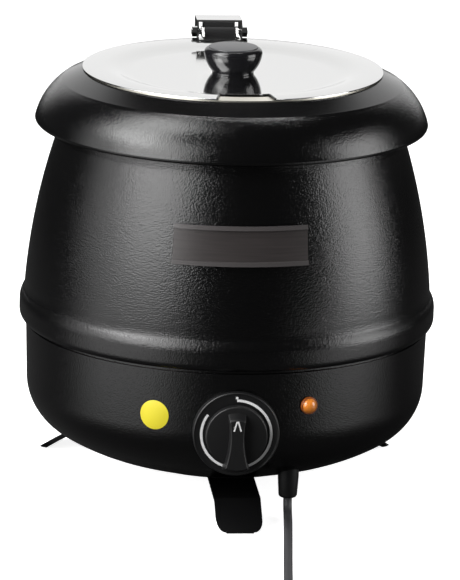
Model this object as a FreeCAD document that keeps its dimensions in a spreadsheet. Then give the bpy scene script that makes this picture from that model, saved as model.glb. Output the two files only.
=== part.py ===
import FreeCAD, Part
import math
import os
import Sketcher
from FreeCAD import Placement, Rotation, Vector

# Electric soup kettle: a black painted steel jacket on three strip feet, with a water bath
# inside it, a lift-out pot and a hinged lid that has a notch for the ladle.
# Millimetres, +Z up. The origin is on the floor under the kettle's axis, the dial faces -Y.

doc = FreeCAD.newDocument("soup_kettle")
dim = doc.addObject("Spreadsheet::Sheet", "dim")

DIMENSIONS = [
    ("sheet", 1.2, "painted steel wall"),
    ("thin_sheet", 1.0, "stainless steel wall"),
    ("bead_radius", 170, "swaged bead, the widest ring"),
    ("bead_level", 146, "middle of the bead"),
    ("bead_band", 4, "half height of the bead's flat band"),
    ("bead_round", 18.4, "rounding of the bead"),
    ("lip_round", 9.5, "rounding under the bead"),
    ("lip_radius", 166.3, "lower lip of the shell"),
    ("lip_level", 134.5, "level of that lip"),
    ("waist_radius", 165.6, "shell just above the bead"),
    ("waist_level", 166, "level where the bead ends"),
    ("neck_radius", 141, "shell where it enters the collar"),
    ("neck_level", 288, "top of the flared part of the shell"),
    ("shell_top", 300, "upper edge of the shell"),
    ("shell_flare", 527, "radius of the flare in side view"),
    ("joggle_radius", 162.8, "bowl rim inside the shell"),
    ("seam_level", 131.5, "shadow gap under the bead"),
    ("bowl_radius", 164.4, "bowl at the shadow gap"),
    ("bowl_wall_radius", 163.2, "bowl where the wall starts to bend"),
    ("bowl_bend_level", 84, "level where the wall starts to bend"),
    ("bowl_bend", 45, "bend at the foot of the wall"),
    ("bowl_turn_radius", 142, "end of the bend"),
    ("bowl_turn_level", 45.8, "level of the end of the bend"),
    ("bowl_dish", 170, "radius of the dished underside"),
    ("bowl_mouth", 78, "opening in the underside"),
    ("bowl_bottom", 22, "level of the underside"),
    ("collar_mouth", 109.5, "hole that the pot hangs in"),
    ("seat_radius", 121.5, "flat seat for the pot's flange"),
    ("seat_level", 340, "top of that seat"),
    ("shoulder_radius", 138, "edge between the collar's cone and its skirt"),
    ("shoulder_level", 331.6, "level of that edge"),
    ("skirt_radius", 159.4, "collar's skirt at its lower edge"),
    ("skirt_level", 300.2, "level where the skirt rolls under"),
    ("skirt_bulge", 54, "radius of the skirt in side view"),
    ("skirt_bottom", 297, "underside of the rolled edge"),
    ("pot_radius", 106, "outside of the pot"),
    ("pot_bottom", 92, "underside of the pot"),
    ("pot_flange", 119.5, "rim flange of the pot"),
    ("pot_bend", 15, "bend at the foot of the pot"),
    ("tank_radius", 120.5, "outside of the water bath"),
    ("tank_bottom", 70, "underside of the water bath"),
    ("lid_radius", 121.8, "edge of the lid"),
    ("lid_level", 342.4, "top of the lid's flange"),
    ("panel_radius", 102, "sunk middle of the lid"),
    ("panel_depth", 4, "depth of the sunk middle"),
    ("lid_turn", 2, "turn of pot and lid against the dial"),
    ("notch_outer", 47, "ladle notch at the edge"),
    ("notch_inner", 35, "ladle notch at its inner end"),
    ("notch_reach", 86, "distance of the inner end from the axis"),
    ("knob_height", 21.6, "lid knob"),
    ("knob_radius", 23.6, "head of the lid knob"),
    ("knob_neck", 16.2, "neck of the lid knob"),
    ("pin_reach", 127, "hinge pin from the axis"),
    ("pin_level", 346.2, "hinge pin from the floor"),
    ("pin_radius", 2.5, "hinge pin"),
    ("block_width", 25.4, "hinge block"),
    ("block_front", 125.6, "front face of the hinge block over the pin"),
    ("block_back", 148, "back face of the hinge block"),
    ("block_height", 13.4, "hinge block"),
    ("cover_width", 38, "steel cover over the hinge block"),
    ("cover_sheet", 1.5, "steel of the cover and the hinge leaf"),
    ("eye_radius", 4.5, "eye of the hinge leaf round the pin"),
    ("running_gap", 0.05, "running clearance of pins and shafts"),
    ("dial_level", 83.8, "axis of the dial"),
    ("dial_face", 169, "front face of the dial plate from the axis"),
    ("dial_radius", 34.2, "dial plate"),
    ("grip_disc", 24.5, "round part of the control knob"),
    ("grip_tail", 30.7, "reach of the control knob's tail"),
    ("grip_height", 15.5, "control knob over the dial plate"),
    ("shaft_radius", 3, "thermostat shaft"),
    ("bushing_radius", 5, "thermostat bushing"),
    ("lamp_angle", 20.6, "lamp round the axis from the dial"),
    ("lamp_level", 103.7, "axis of the lamp"),
    ("lamp_radius", 7, "lamp lens"),
    ("lens_dome", 4.6, "height of the lens's dome"),
    ("label_angle", 38, "arc that the label holder covers"),
    ("label_turn", 0.1, "middle of the label holder from the dial"),
    ("label_bottom", 218.6, "lower edge of the label holder"),
    ("label_top", 250.1, "upper edge of the label holder"),
    ("foot_turn", 2, "front foot round the axis from the dial"),
    ("foot_width", 37, "strip feet"),
    ("foot_strip", 3.4, "thickness of the strip"),
    ("foot_reach", 164, "toe of a foot from the axis"),
    ("foot_slope", 32, "slope of the outer part of a foot"),
    ("foot_round", 7, "rounding of a foot's lower corners"),
    ("foot_screw", 64, "screw of a foot from the axis"),
    ("pad_height", 1.2, "rubber pad under a toe"),
    ("plate_radius", 81, "bottom plate"),
    ("plate_height", 1.8, "bottom plate"),
    ("gland_x", 45.8, "cord gland"),
    ("gland_y", -119, "cord gland"),
    ("gland_end", 17.4, "lower end of the gland"),
    ("gland_radius", 8.4, "cord gland"),
    ("cord_radius", 3.5, "mains cord"),
    ("coil_radius", 51, "outer turn of the put-away coil"),
    ("coil_pitch", 9.6, "step between turns of the coil"),
    ("coil_layer", 7.5, "step between layers of the coil"),
    ("coil_tail", 35, "straight end of the coil before the plug"),
    ("coil_side", 32.6, "side of the coil where the cord comes in"),
    ("coil_y", -384, "middle of the coil"),
    ("tie_strap", 0.8, "strap round the coil"),
]
for row, (name, number, note) in enumerate(DIMENSIONS, start=1):
    dim.set(f"A{row}", name)
    dim.set(f"B{row}", str(number))
    dim.setAlias(f"B{row}", name)
    dim.set(f"C{row}", note)
doc.recompute()

pieces = []


def size(text):
    return float(dim.evalExpression(str(text)))


def new_body(label):
    body = doc.addObject("PartDesign::Body", label)
    body.Label = label
    return body


def piece(label):
    body = new_body(label)
    pieces.append(body)
    return body


def place(item, x="0", y="0", z="0", turn="0", axis=Vector(0, 0, 1)):
    item.Placement = Placement(Vector(size(x), size(y), size(z)), Rotation(axis, size(turn)))
    item.setExpression("Placement.Base.x", x)
    item.setExpression("Placement.Base.y", y)
    item.setExpression("Placement.Base.z", z)
    item.setExpression("Placement.Rotation.Angle", turn)


def new_sketch(body, name, role, lift="0"):
    sketch = body.newObject("Sketcher::SketchObject", name)
    flat = next(item for item in body.Origin.OriginFeatures if item.Role == role)
    sketch.AttachmentSupport = (flat, "")
    sketch.MapMode = "FlatFace"
    sketch.setExpression("AttachmentOffset.Base.z", lift)
    return sketch


def bind(sketch, kind, place_on, text):
    index = sketch.addConstraint(Sketcher.Constraint(kind, *place_on, size(text)))
    sketch.setExpression(f"Constraints[{index}]", text)


def hold_point(sketch, edge, end, x, y):
    if abs(size(x)) < 1e-9:
        sketch.addConstraint(Sketcher.Constraint("PointOnObject", edge, end, -2))
    else:
        bind(sketch, "DistanceX", (-1, 1, edge, end), x)
    if abs(size(y)) < 1e-9:
        sketch.addConstraint(Sketcher.Constraint("PointOnObject", edge, end, -1))
    else:
        bind(sketch, "DistanceY", (-1, 1, edge, end), y)


# A closed outline. Each corner is (x, y) after a straight edge or (x, y, radius, side) after an
# arc, where side is "left" or "right" of the way and names the side that the arc's centre is on.
def outline(body, name, role, corners, lift="0"):
    sketch = new_sketch(body, name, role, lift)
    points = [Vector(size(corner[0]), size(corner[1]), 0) for corner in corners]
    ends = []
    for index, corner in enumerate(corners):
        start, stop = points[index - 1], points[index]
        if len(corner) == 2:
            sketch.addGeometry(Part.LineSegment(start, stop))
            ends.append((1, 2))
            continue
        radius, left = size(corner[2]), corner[3] == "left"
        chord = stop - start
        across = Vector(-chord.y, chord.x, 0).normalize() * (1 if left else -1)
        middle = (start + stop) * 0.5
        centre = middle + across * math.sqrt(radius**2 - chord.Length**2 / 4)
        first = math.atan2(start.y - centre.y, start.x - centre.x)
        last = math.atan2(stop.y - centre.y, stop.x - centre.x)
        circle = Part.Circle(centre, Vector(0, 0, 1), radius)
        if left:
            sketch.addGeometry(Part.ArcOfCircle(circle, first, last))
            ends.append((1, 2))
        else:
            sketch.addGeometry(Part.ArcOfCircle(circle, last, first))
            ends.append((2, 1))
    count = len(corners)
    for index in range(count):
        after = (index + 1) % count
        joint = (index, ends[index][1], after, ends[after][0])
        sketch.addConstraint(Sketcher.Constraint("Coincident", *joint))
    for index, corner in enumerate(corners):
        hold_point(sketch, index, ends[index][1], corner[0], corner[1])
        if len(corner) > 2:
            bind(sketch, "Radius", (index,), corner[2])
    return sketch


def round_outline(body, name, role, circles, lift="0"):
    sketch = new_sketch(body, name, role, lift)
    for index, (x, y, radius) in enumerate(circles):
        centre = Vector(size(x), size(y), 0)
        sketch.addGeometry(Part.Circle(centre, Vector(0, 0, 1), size(radius)))
        hold_point(sketch, index, 3, x, y)
        bind(sketch, "Radius", (index,), radius)
    return sketch


def disc_outline(body, name, role, radius, lift="0"):
    return round_outline(body, name, role, [("0", "0", radius)], lift)


def revolve(body, name, corners, angle=None):
    feature = body.newObject("PartDesign::Revolution", name)
    feature.Profile = outline(body, name + "_outline", "XZ_Plane", corners)
    feature.ReferenceAxis = (feature.Profile[0], ["V_Axis"])
    feature.Angle = 360
    if angle:
        feature.setExpression("Angle", angle)
    return feature


def pad(body, name, sketch, length, symmetric=False, taper=None):
    feature = body.newObject("PartDesign::Pad", name)
    feature.Profile = sketch
    feature.setExpression("Length", length)
    feature.SideType = "Symmetric" if symmetric else "One side"
    if taper:
        feature.TaperAngle = taper
    return feature


def pocket(body, name, sketch, length, reverse=False):
    feature = body.newObject("PartDesign::Pocket", name)
    feature.Profile = sketch
    feature.setExpression("Length", length)
    feature.Reversed = reverse
    return feature


def box_corners(left, low, right, high):
    return [(left, low), (right, low), (right, high), (left, high)]


# Opens a solid at the flat faces that lie on the given levels and leaves a wall inside its form.
def hollow(body, name, solid, levels, wall):
    doc.recompute()
    open_faces = []
    for index, face in enumerate(solid.Shape.Faces, start=1):
        box = face.BoundBox
        for level in levels:
            if box.ZLength < 1e-6 and abs(box.ZMin - size(level)) < 1e-6:
                open_faces.append(f"Face{index}")
    feature = body.newObject("PartDesign::Thickness", name)
    feature.Base = (solid, open_faces)
    feature.Reversed = True
    feature.Join = "Intersection"
    feature.setExpression("Value", wall)
    return feature


# Rounds the edges of a feature that the chooser picks.
def soften(body, name, solid, radius, chooser):
    doc.recompute()
    names = [f"Edge{i}" for i, edge in enumerate(solid.Shape.Edges, start=1) if chooser(edge)]
    feature = body.newObject("PartDesign::Fillet", name)
    feature.Base = (solid, names)
    feature.Radius = radius
    return feature


# Lower bowl, its rim joggled inwards so that it enters the shell above.
BOWL_FORM = [
    ("0", "dim.bowl_bottom"),
    ("dim.bowl_mouth", "dim.bowl_bottom"),
    ("dim.bowl_turn_radius", "dim.bowl_turn_level", "dim.bowl_dish", "left"),
    ("dim.bowl_wall_radius", "dim.bowl_bend_level", "dim.bowl_bend", "left"),
    ("dim.bowl_radius", "dim.seam_level - 2"),
    ("dim.joggle_radius", "dim.seam_level"),
    ("dim.joggle_radius", "dim.bead_level"),
    ("0", "dim.bead_level"),
]
bowl_form = new_body("bowl_form")
revolve(bowl_form, "bowl_form_solid", BOWL_FORM)

base_pan = piece("base_pan")
revolve(
    base_pan,
    "pan",
    BOWL_FORM[1:6]
    + [
        ("dim.joggle_radius", "dim.bead_level - dim.sheet"),
        ("dim.bead_radius - dim.sheet", "dim.bead_level - dim.sheet"),
        ("dim.bead_radius - dim.sheet", "dim.bead_level"),
        ("dim.joggle_radius - dim.sheet", "dim.bead_level"),
        ("dim.joggle_radius - dim.sheet", "dim.seam_level + dim.sheet / 4"),
        ("dim.bowl_radius - dim.sheet", "dim.seam_level - 2"),
        ("dim.bowl_wall_radius - dim.sheet", "dim.bowl_bend_level"),
        (
            "dim.bowl_turn_radius - 0.53 * dim.sheet",
            "dim.bowl_turn_level + 0.85 * dim.sheet",
            "dim.bowl_bend - dim.sheet",
            "right",
        ),
        ("dim.bowl_mouth", "dim.bowl_bottom + dim.sheet", "dim.bowl_dish - dim.sheet", "right"),
    ],
)
dial_hole = round_outline(base_pan, "dial_hole", "XZ_Plane", [("0", "dim.dial_level", "dim.bushing_radius")])
pocket(base_pan, "dial_hole_cut", dial_hole, "dim.bead_radius", reverse=True)
gland_ring = [("dim.gland_x", "dim.gland_y", "dim.gland_radius")]
gland_hole = round_outline(base_pan, "gland_hole", "XY_Plane", gland_ring)
pocket(base_pan, "gland_hole_cut", gland_hole, "dim.dial_level", reverse=True)
lamp_hole = round_outline(base_pan, "lamp_hole", "XZ_Plane", [("0", "dim.lamp_level", "dim.lamp_radius - 1")])
lamp_hole.AttachmentOffset = Placement(Vector(), Rotation(Vector(0, 1, 0), size("dim.lamp_angle")))
lamp_hole.setExpression("AttachmentOffset.Rotation.Angle", "dim.lamp_angle")
pocket(base_pan, "lamp_hole_cut", lamp_hole, "dim.bead_radius", reverse=True)

# Upper shell, flared from the neck down to the swaged bead and turned in under it.
SHELL_FORM = [
    ("0", "dim.lip_level"),
    ("dim.lip_radius", "dim.lip_level"),
    ("dim.bead_radius", "dim.bead_level - dim.bead_band", "dim.lip_round", "left"),
    ("dim.bead_radius", "dim.bead_level + dim.bead_band"),
    ("dim.waist_radius + 2.1", "dim.waist_level - 7.5", "dim.bead_round + 3", "left"),
    ("dim.waist_radius", "dim.waist_level", "dim.bead_round + 3", "right"),
    ("dim.neck_radius", "dim.neck_level", "dim.shell_flare", "left"),
    ("dim.neck_radius", "dim.shell_top"),
    ("0", "dim.shell_top"),
]
shell_form = new_body("shell_form")
revolve(shell_form, "shell_form_solid", SHELL_FORM)

outer_shell = piece("outer_shell")
shell_solid = revolve(outer_shell, "shell_solid", SHELL_FORM)
hollow(outer_shell, "shell_wall", shell_solid, ["dim.lip_level", "dim.shell_top"], "dim.sheet")

# Collar: flat seat, cone, shoulder and a skirt that rolls under to meet the neck.
rim_collar = piece("rim_collar")
revolve(
    rim_collar,
    "collar",
    [
        ("dim.collar_mouth", "dim.seat_level - dim.sheet"),
        ("dim.collar_mouth", "dim.seat_level"),
        ("dim.seat_radius", "dim.seat_level"),
        ("dim.shoulder_radius - 0.8", "dim.shoulder_level + 0.4"),
        ("dim.shoulder_radius + 0.8", "dim.shoulder_level - 0.6", "5", "right"),
        ("dim.skirt_radius", "dim.skirt_level", "dim.skirt_bulge", "right"),
        ("dim.skirt_radius - 3.2", "dim.skirt_bottom", "3.3", "right"),
        ("dim.neck_radius", "dim.skirt_bottom"),
        ("dim.neck_radius", "dim.skirt_bottom + dim.sheet"),
        ("dim.skirt_radius - 3.2", "dim.skirt_bottom + dim.sheet"),
        ("dim.skirt_radius - dim.sheet", "dim.skirt_level", "2.1", "left"),
        ("dim.shoulder_radius + 0.1", "dim.shoulder_level - 1.7", "dim.skirt_bulge - dim.sheet", "left"),
        ("dim.shoulder_radius - 1.4", "dim.shoulder_level - 0.7", "4", "left"),
        ("dim.seat_radius - 0.3", "dim.seat_level - dim.sheet"),
    ],
)

# Water bath: a stainless tank whose rim turns in under the collar's seat.
water_tank = piece("water_tank")
tank_solid = revolve(
    water_tank,
    "tank_solid",
    [
        ("0", "dim.tank_bottom"),
        ("dim.tank_radius - dim.pot_bend", "dim.tank_bottom"),
        ("dim.tank_radius", "dim.tank_bottom + dim.pot_bend", "dim.pot_bend", "left"),
        ("dim.tank_radius", "dim.seat_level - dim.sheet"),
        ("0", "dim.seat_level - dim.sheet"),
    ],
)
hollow(water_tank, "tank_wall", tank_solid, ["dim.seat_level - dim.sheet"], "dim.thin_sheet")
revolve(
    water_tank,
    "tank_rim",
    box_corners(
        "dim.collar_mouth + 2",
        "dim.seat_level - dim.sheet - dim.thin_sheet",
        "dim.tank_radius",
        "dim.seat_level - dim.sheet",
    ),
)

# Ring element clamped to the underside of the tank by a strap on a central stud.
heating_element = doc.addObject("Part::Torus", "heating_element")
heating_element.setExpression("Radius1", "dim.tank_radius * 0.65")
heating_element.Radius2 = 4
place(heating_element, z="dim.tank_bottom - 4")
pieces.append(heating_element)

element_clamp = piece("element_clamp")
strap_outline = outline(
    element_clamp,
    "strap_outline",
    "XY_Plane",
    box_corners("-dim.tank_radius * 0.7", "-8", "dim.tank_radius * 0.7", "8"),
    "dim.tank_bottom - 10",
)
pad(element_clamp, "strap", strap_outline, "2")
stud = disc_outline(element_clamp, "stud_outline", "XY_Plane", "4", "dim.tank_bottom - 8")
pad(element_clamp, "stud", stud, "8")

# Bottom plate with a ring of vent holes and the screw holes of the feet.
bottom_plate = piece("bottom_plate")
PLATE_LOW = "dim.bowl_bottom - dim.plate_height"
plate_disc = disc_outline(bottom_plate, "plate_disc", "XY_Plane", "dim.plate_radius", PLATE_LOW)
pad(bottom_plate, "plate", plate_disc, "dim.plate_height")
FEET = {"front": 0, "right": 120, "left": 240}
foot_holes = []
for turn in FEET.values():
    angle = f"(dim.foot_turn + {turn})"
    foot_holes.append((f"dim.foot_screw * sin{angle}", f"-dim.foot_screw * cos{angle}", "2.5"))
plate_holes = round_outline(bottom_plate, "plate_holes", "XY_Plane", foot_holes)
pocket(bottom_plate, "plate_hole_cut", plate_holes, "dim.bowl_bottom", reverse=True)
vent = round_outline(bottom_plate, "vent", "XY_Plane", [("dim.plate_radius * 0.42", "0", "3")])
vent_cut = pocket(bottom_plate, "vent_cut", vent, "dim.bowl_bottom", reverse=True)
vents = bottom_plate.newObject("PartDesign::PolarPattern", "vents")
vents.Originals = [vent_cut]
vents.Axis = (vent, ["N_Axis"])
vents.Angle = 360
vents.Occurrences = 10
bottom_plate.Tip = vents

# Three strip feet: a flat tab under the bottom plate, bent down to a toe on a rubber pad.
STRIP_TOP = "(dim.bowl_bottom - dim.plate_height)"
FOOT_BEND = f"(dim.foot_reach - ({STRIP_TOP} - dim.pad_height) / tan(dim.foot_slope))"
TOE_DEPTH = "(dim.foot_strip / sin(dim.foot_slope))"


def make_foot(side, turn):
    angle = f"dim.foot_turn + {turn}"
    foot = piece(f"foot_{side}")
    strip_outline = outline(
        foot,
        f"strip_outline_{side}",
        "YZ_Plane",
        [
            ("-50", STRIP_TOP),
            (f"-{FOOT_BEND}", STRIP_TOP),
            ("-dim.foot_reach", "dim.pad_height"),
            (f"-dim.foot_reach + {TOE_DEPTH}", "dim.pad_height"),
            (f"-{FOOT_BEND} + dim.foot_strip * tan(dim.foot_slope / 2)", f"{STRIP_TOP} - dim.foot_strip"),
            ("-50", f"{STRIP_TOP} - dim.foot_strip"),
        ],
    )
    pad(foot, f"strip_{side}", strip_outline, "dim.foot_width", symmetric=True)
    edge = "dim.foot_width / 2"
    inner = f"{edge} - dim.foot_round"
    high = "dim.pad_height + dim.foot_round"
    right_corner = [
        (inner, "0"),
        (f"{edge} + 1", "0"),
        (f"{edge} + 1", high),
        (edge, high),
        (inner, "dim.pad_height", "dim.foot_round", "right"),
    ]
    left_corner = [
        (f"-{edge} - 1", "0"),
        (f"-({inner})", "0"),
        (f"-({inner})", "dim.pad_height"),
        (f"-{edge}", high, "dim.foot_round", "right"),
        (f"-{edge} - 1", high),
    ]
    for hand, corners in (("right", right_corner), ("left", left_corner)):
        trim = outline(foot, f"toe_corner_{hand}_{side}", "XZ_Plane", corners)
        pocket(foot, f"toe_round_{hand}_{side}", trim, "dim.foot_reach + 10", reverse=True)
    hole = round_outline(foot, f"strip_hole_{side}", "XY_Plane", [("0", "-dim.foot_screw", "2.5")])
    pocket(foot, f"strip_hole_cut_{side}", hole, "dim.bowl_bottom", reverse=True)
    place(foot, turn=angle)

    rubber = piece(f"foot_pad_{side}")
    rubber_outline = outline(
        rubber,
        f"rubber_outline_{side}",
        "XY_Plane",
        box_corners("-11", "-dim.foot_reach + 0.8", "11", f"-dim.foot_reach + {TOE_DEPTH} - 0.6"),
    )
    pad(rubber, f"rubber_{side}", rubber_outline, "dim.pad_height")
    place(rubber, turn=angle)

    screw = piece(f"foot_screw_{side}")
    revolve(
        screw,
        f"screw_{side}",
        [
            ("0", f"{STRIP_TOP} - dim.foot_strip - 2.6"),
            ("3.4", f"{STRIP_TOP} - dim.foot_strip - 2.6"),
            ("4.6", f"{STRIP_TOP} - dim.foot_strip - 1.2", "2", "left"),
            ("4.6", f"{STRIP_TOP} - dim.foot_strip"),
            ("2.5", f"{STRIP_TOP} - dim.foot_strip"),
            ("2.5", "dim.bowl_bottom + 4"),
            ("0", "dim.bowl_bottom + 4"),
        ],
    )
    place(screw, f"dim.foot_screw * sin({angle})", f"-dim.foot_screw * cos({angle})")


for side, turn in FEET.items():
    make_foot(side, turn)

# Dial plate: a round moulding whose skirt is scribed to the bowl behind it.
DIAL = {"y": "-dim.dial_face", "z": "dim.dial_level"}
plate_blank = new_body("dial_plate_blank")
plate_round = disc_outline(plate_blank, "dial_plate_round", "XZ_Plane", "dim.dial_radius", "-22")
dial_blank = pad(plate_blank, "dial_plate", plate_round, "22")


def dial_rim(edge):
    box = edge.BoundBox
    return box.YLength < 1e-6 and abs(box.YMin) < 1e-6


soften(plate_blank, "dial_plate_edge", dial_blank, 1.4, dial_rim)
plate_back = disc_outline(plate_blank, "dial_plate_back", "XZ_Plane", "dim.dial_radius - 2.4", "-22")
pocket(plate_blank, "dial_plate_hollow", plate_back, "19", reverse=True)
plate_bore = disc_outline(plate_blank, "dial_plate_bore", "XZ_Plane", "dim.bushing_radius + 0.1", "-22")
pocket(plate_blank, "dial_plate_bore_cut", plate_bore, "22", reverse=True)
place(plate_blank, **DIAL)
dial_bezel = doc.addObject("Part::Cut", "dial_bezel")
dial_bezel.Base = plate_blank
dial_bezel.Tool = bowl_form
pieces.append(dial_bezel)

# Thermostat behind the wall, with its shaft running in a bushing through the wall.
thermostat_body = piece("thermostat_body")
case_corners = box_corners("-19", "-17", "19", "21")
case_outline = outline(thermostat_body, "case_outline", "XZ_Plane", case_corners, "-42")
pad(thermostat_body, "case", case_outline, "22")
bushing = disc_outline(thermostat_body, "bushing_outline", "XZ_Plane", "dim.bushing_radius", "-20")
pad(thermostat_body, "bushing", bushing, "19")
bore = disc_outline(thermostat_body, "bore_outline", "XZ_Plane", "dim.shaft_radius + dim.running_gap", "-37")
pocket(thermostat_body, "bore", bore, "40", reverse=True)
place(thermostat_body, **DIAL)

thermostat_shaft = piece("thermostat_shaft")
shaft_outline = disc_outline(thermostat_shaft, "shaft_outline", "XZ_Plane", "dim.shaft_radius", "-36")
pad(thermostat_shaft, "shaft", shaft_outline, "46")
place(thermostat_shaft, **DIAL)

# Control knob: a low disc and a waisted grip bar that flares into a tail over the dial plate.
control_knob = piece("control_knob")
knob_disc = disc_outline(control_knob, "knob_disc", "XZ_Plane", "dim.grip_disc", "0.6")
pad(control_knob, "disc", knob_disc, "6")
TAIL_SIDE = "dim.grip_tail * sin(22)"
TAIL_END = "-dim.grip_tail * cos(22)"
grip_outline = outline(
    control_knob,
    "grip_outline",
    "XZ_Plane",
    [
        ("8", "20", "dim.grip_disc", "right"),
        (TAIL_SIDE, TAIL_END, "100", "left"),
        (f"-{TAIL_SIDE}", TAIL_END, "dim.grip_tail", "right"),
        ("-8", "20", "100", "left"),
    ],
    "0.6",
)
pad(control_knob, "grip", grip_outline, "dim.grip_height", taper=-10)
shaft_socket = disc_outline(control_knob, "shaft_socket", "XZ_Plane", "dim.shaft_radius", "0.6")
pocket(control_knob, "shaft_socket_cut", shaft_socket, "9.4", reverse=True)
place(control_knob, **DIAL)

# Signal lamp: a domed lens on a bush that is sprung into the wall.
LAMP_PLACE = {
    "x": "dim.bowl_radius * sin(dim.lamp_angle)",
    "y": "-dim.bowl_radius * cos(dim.lamp_angle)",
    "z": "dim.lamp_level",
}
lamp_turn = Rotation(Vector(0, 0, 1), size("dim.lamp_angle")).multiply(Rotation(Vector(1, 0, 0), 90))


def lay_lamp(item):
    for letter, text in LAMP_PLACE.items():
        item.setExpression(f"Placement.Base.{letter}", text)
    item.Placement.Rotation = lamp_turn


LENS_BACK = "-0.5"
lamp_lens = piece("lamp_lens")
revolve(
    lamp_lens,
    "lens",
    [
        ("0", LENS_BACK),
        ("dim.lamp_radius", LENS_BACK),
        ("dim.lamp_radius", "1.2"),
        ("0", "1.2 + dim.lens_dome", "(dim.lamp_radius^2 + dim.lens_dome^2) / (2 * dim.lens_dome)", "left"),
    ],
)
lay_lamp(lamp_lens)

lamp_body = piece("lamp_body")
revolve(
    lamp_body,
    "lamp_bush",
    [
        ("0", "-24"),
        ("dim.lamp_radius - 2", "-24"),
        ("dim.lamp_radius - 1", "-20"),
        ("dim.lamp_radius - 1", LENS_BACK),
        ("0", LENS_BACK),
    ],
)
lay_lamp(lamp_body)

# Label holder: an extruded strip with a lip above and below, curved to the shell that it is stuck on.
holder_blank = new_body("label_holder_blank")
LABEL_LOW = "dim.label_bottom"
LABEL_HIGH = "dim.label_top"
revolve(
    holder_blank,
    "label_strip",
    [
        ("156", LABEL_LOW),
        ("162.6", LABEL_LOW),
        ("161.7", f"{LABEL_LOW} + 4.2"),
        ("160.9", f"{LABEL_LOW} + 4"),
        ("161.1", f"{LABEL_LOW} + 2"),
        ("160.1", f"{LABEL_LOW} + 2"),
        ("155.0", f"{LABEL_HIGH} - 2"),
        ("156.0", f"{LABEL_HIGH} - 2"),
        ("156.3", f"{LABEL_HIGH} - 4"),
        ("157.2", f"{LABEL_HIGH} - 4.2"),
        ("156.4", LABEL_HIGH),
        ("150", LABEL_HIGH),
    ],
    "dim.label_angle",
)
place(holder_blank, turn="dim.label_turn - 90 - dim.label_angle / 2")
label_holder = doc.addObject("Part::Cut", "label_holder")
label_holder.Base = holder_blank
label_holder.Tool = shell_form
pieces.append(label_holder)

# Lift-out pot with a wide rim flange and a tab at the back that carries the hinge.
soup_pot = piece("soup_pot")
pot_solid = revolve(
    soup_pot,
    "pot_solid",
    [
        ("0", "dim.pot_bottom"),
        ("dim.pot_radius - dim.pot_bend", "dim.pot_bottom"),
        ("dim.pot_radius", "dim.pot_bottom + dim.pot_bend", "dim.pot_bend", "left"),
        ("dim.pot_radius", "dim.seat_level + dim.thin_sheet"),
        ("0", "dim.seat_level + dim.thin_sheet"),
    ],
)
hollow(soup_pot, "pot_wall", pot_solid, ["dim.seat_level + dim.thin_sheet"], "dim.thin_sheet")
revolve(
    soup_pot,
    "pot_rim",
    box_corners(
        "dim.pot_radius - dim.thin_sheet",
        "dim.seat_level",
        "dim.pot_flange",
        "dim.seat_level + dim.thin_sheet",
    ),
)
tab_outline = outline(
    soup_pot,
    "tab_outline",
    "XY_Plane",
    box_corners("-dim.block_width / 2", "dim.pot_radius + 4", "dim.block_width / 2", "dim.block_back"),
    "dim.seat_level",
)
pad(soup_pot, "hinge_tab", tab_outline, "dim.thin_sheet")
place(soup_pot, turn="dim.lid_turn")

# Hinge: a black block on the pot's tab, a steel cover over it, a pin and two nuts.
TAB_TOP = "dim.seat_level + dim.thin_sheet"
BLOCK_TOP = f"{TAB_TOP} + dim.block_height"
PIN_RING = [("dim.pin_reach", "dim.pin_level", "dim.pin_radius")]
NOSE = "dim.eye_radius + 0.1"

hinge_base = piece("hinge_base")
block_outline = outline(
    hinge_base,
    "block_outline",
    "YZ_Plane",
    [
        ("dim.block_back", TAB_TOP),
        ("dim.block_back", BLOCK_TOP),
        ("dim.block_front", BLOCK_TOP),
        ("dim.block_front", f"dim.pin_level + sqrt(({NOSE})^2 - (dim.pin_reach - dim.block_front)^2)"),
        (f"dim.pin_reach - ({NOSE})", "dim.pin_level", NOSE, "left"),
        (f"dim.pin_reach - ({NOSE})", TAB_TOP),
    ],
)
pad(hinge_base, "block", block_outline, "dim.block_width", symmetric=True)
block_bore = round_outline(hinge_base, "block_bore", "YZ_Plane", PIN_RING)
pocket(hinge_base, "block_bore_cut", block_bore, "dim.cover_width + 10").SideType = "Symmetric"
place(hinge_base, turn="dim.lid_turn")

hinge_cover = piece("hinge_cover")
cover_outline = outline(
    hinge_cover,
    "cover_outline",
    "YZ_Plane",
    [
        ("dim.block_back + 1", f"{TAB_TOP} + 0.3"),
        ("dim.block_back + 1", f"{BLOCK_TOP} + dim.cover_sheet"),
        ("dim.block_front + 2", f"{BLOCK_TOP} + dim.cover_sheet"),
        ("dim.pin_reach - dim.eye_radius", "dim.pin_level + dim.eye_radius"),
        ("dim.pin_reach - dim.eye_radius", f"{TAB_TOP} + 0.3"),
    ],
)
pad(hinge_cover, "cover", cover_outline, "dim.cover_width", symmetric=True)
CHEEK = "(dim.cover_width / 2 - dim.cover_sheet)"
cover_inside = outline(
    hinge_cover,
    "cover_inside",
    "XZ_Plane",
    box_corners(f"-{CHEEK}", "dim.shoulder_level", CHEEK, BLOCK_TOP),
)
pocket(hinge_cover, "cover_inside_cut", cover_inside, "dim.block_back + 20")
cover_bore = round_outline(hinge_cover, "cover_bore", "YZ_Plane", PIN_RING)
pocket(hinge_cover, "cover_bore_cut", cover_bore, "dim.cover_width + 10").SideType = "Symmetric"
place(hinge_cover, turn="dim.lid_turn")

hinge_pin = piece("hinge_pin")
pin_outline = round_outline(hinge_pin, "pin_outline", "YZ_Plane", PIN_RING)
pad(hinge_pin, "pin", pin_outline, "dim.cover_width + 9", symmetric=True)
place(hinge_pin, turn="dim.lid_turn")

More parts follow.
